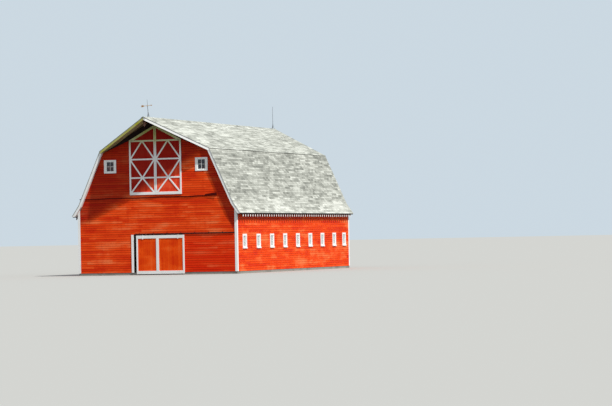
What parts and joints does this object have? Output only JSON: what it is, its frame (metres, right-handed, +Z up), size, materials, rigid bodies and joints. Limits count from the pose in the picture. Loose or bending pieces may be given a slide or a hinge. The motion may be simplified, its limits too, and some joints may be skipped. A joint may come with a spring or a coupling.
{
  "type": "gambrel-roofed timber barn",
  "caption": "Red timber barn with a gambrel roof, prow-shaped hay hood, braced loft doors, sliding door on an overhead track, and a turning weather vane.",
  "frame": {"origin": "middle of the foundation slab's underside, at ground level", "axes": "+Z up, +Y from the front gable to the back gable along the barn's length, +X to the right as seen facing the front gable"},
  "size_m": [10.96, 22.1641, 10.9573],
  "materials": {
    "concrete": "cast concrete",
    "red_siding": "painted barn red, weathered",
    "red_boards": "painted barn red",
    "white_trim": "painted white",
    "shingles": "weathered grey-green shingles",
    "timber": "rough sawn",
    "glass": "clear window glass",
    "track_steel": "dark steel",
    "rod_steel": "dark weathered steel"
  },
  "bodies": {
    "barn": {"foundation_slab": "concrete", "front_wall_left": "red_siding", "front_wall_right": "red_siding", "front_wall_band": "red_siding", "front_gable_left": "red_siding", "front_gable_right": "red_siding", "front_gable_peak": "red_siding", "back_wall": "red_siding", "left_wall": "red_siding", "right_wall": "red_siding", "loft_floor": "timber", "loft_joists": "timber", "roof_upper_left": "shingles", "roof_upper_right": "shingles", "roof_lower_left": "shingles", "roof_lower_right": "shingles", "ridge_cap": "shingles", "roof_rafters": "timber", "hood_rafters": "timber", "eave_tails_left": "timber", "eave_tails_right": "timber", "hood_barge_boards": "white_trim", "hood_soffit_boards": "white_trim", "front_rake_boards": "white_trim", "back_rake_boards": "white_trim", "corner_boards": "white_trim", "gable_window_frames": "white_trim", "gable_window_glass": "glass", "right_window_frames": "white_trim", "right_window_glass": "glass", "left_window_frames": "white_trim", "left_window_glass": "glass", "loft_door_left": "red_boards", "loft_door_right": "red_boards", "loft_door_bracing_left": "white_trim", "loft_door_bracing_right": "white_trim", "door_casings": "white_trim", "track_board": "red_siding", "door_track": "track_steel", "hay_track": "track_steel", "hay_carrier": "track_steel", "front_lightning_rod": "rod_steel", "back_lightning_rod": "rod_steel"},
    "sliding_door": {"sliding_door_boards": "red_boards", "sliding_door_frame": "white_trim", "door_hangers": "track_steel"},
    "vane": {"weather_vane": "rod_steel"}
  },
  "joints": [
    {"name": "door_slide", "type": "slide", "parent": "barn", "child": "sliding_door", "axis": [1, 0, 0], "range_m": [-0.185, 2.9]},
    {"name": "vane_spin", "type": "hinge", "parent": "barn", "child": "vane", "pos_m": [-0.04813, -11.1, 10.16566], "axis": [-0.0698, 0, 0.9976], "continuous": true}
  ]
}
